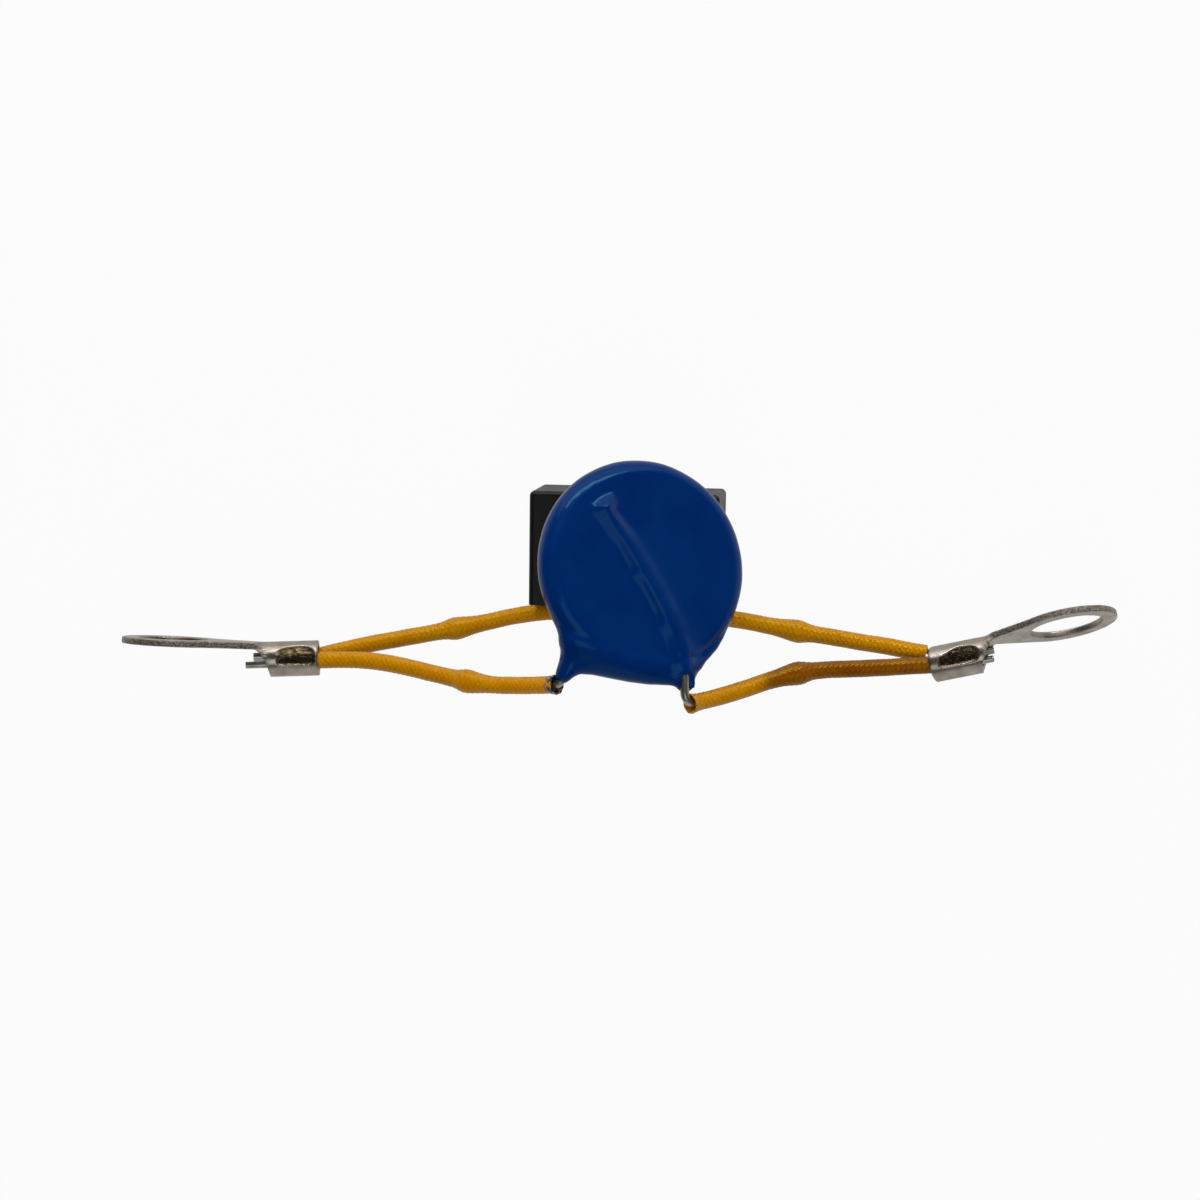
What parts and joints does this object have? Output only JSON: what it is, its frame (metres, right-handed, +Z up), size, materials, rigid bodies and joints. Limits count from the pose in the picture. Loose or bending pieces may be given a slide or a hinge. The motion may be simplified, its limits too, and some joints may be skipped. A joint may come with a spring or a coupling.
{
  "type": "varistor",
  "caption": "Blue coated disc varistor wired across a black boxed film capacitor, its stiff leads in yellow braided sleeves crimped into ring terminals.",
  "frame": {"origin": "centre of the capacitor's flat back face, on which the part lies", "axes": "+Z up out of the capacitor's front towards the varistor, +X along the leads towards the right ring terminal, +Y from the leads towards the closed side of the case"},
  "size_m": [0.1137, 0.0276, 0.0244],
  "materials": {
    "blue_epoxy": "gloss",
    "zinc_oxide_ceramic": "matte",
    "fired_silver": "satin",
    "solder": "satin",
    "tinned_copper": "satin",
    "black_case": "satin",
    "potting_epoxy": "gloss",
    "metallised_film": "gloss",
    "zinc_spray": "matte",
    "yellow_braid": "varnished weave",
    "tin_plate": "satin"
  },
  "bodies": {
    "root": {"varistor_coating": "blue_epoxy", "ceramic_disc": "zinc_oxide_ceramic", "front_electrode": "fired_silver", "rear_electrode": "fired_silver", "front_solder": "solder", "rear_solder": "solder", "varistor_lead_left": "tinned_copper", "varistor_lead_right": "tinned_copper", "capacitor_case": "black_case", "capacitor_potting": "potting_epoxy", "capacitor_winding": "metallised_film", "capacitor_contact_left": "zinc_spray", "capacitor_contact_right": "zinc_spray", "capacitor_lead_left": "tinned_copper", "capacitor_lead_right": "tinned_copper", "sleeve_varistor_left": "yellow_braid", "sleeve_varistor_right": "yellow_braid", "sleeve_capacitor_left": "yellow_braid", "sleeve_capacitor_right": "yellow_braid", "ring_terminal_left": "tin_plate", "ring_terminal_right": "tin_plate"}
  },
  "joints": []
}
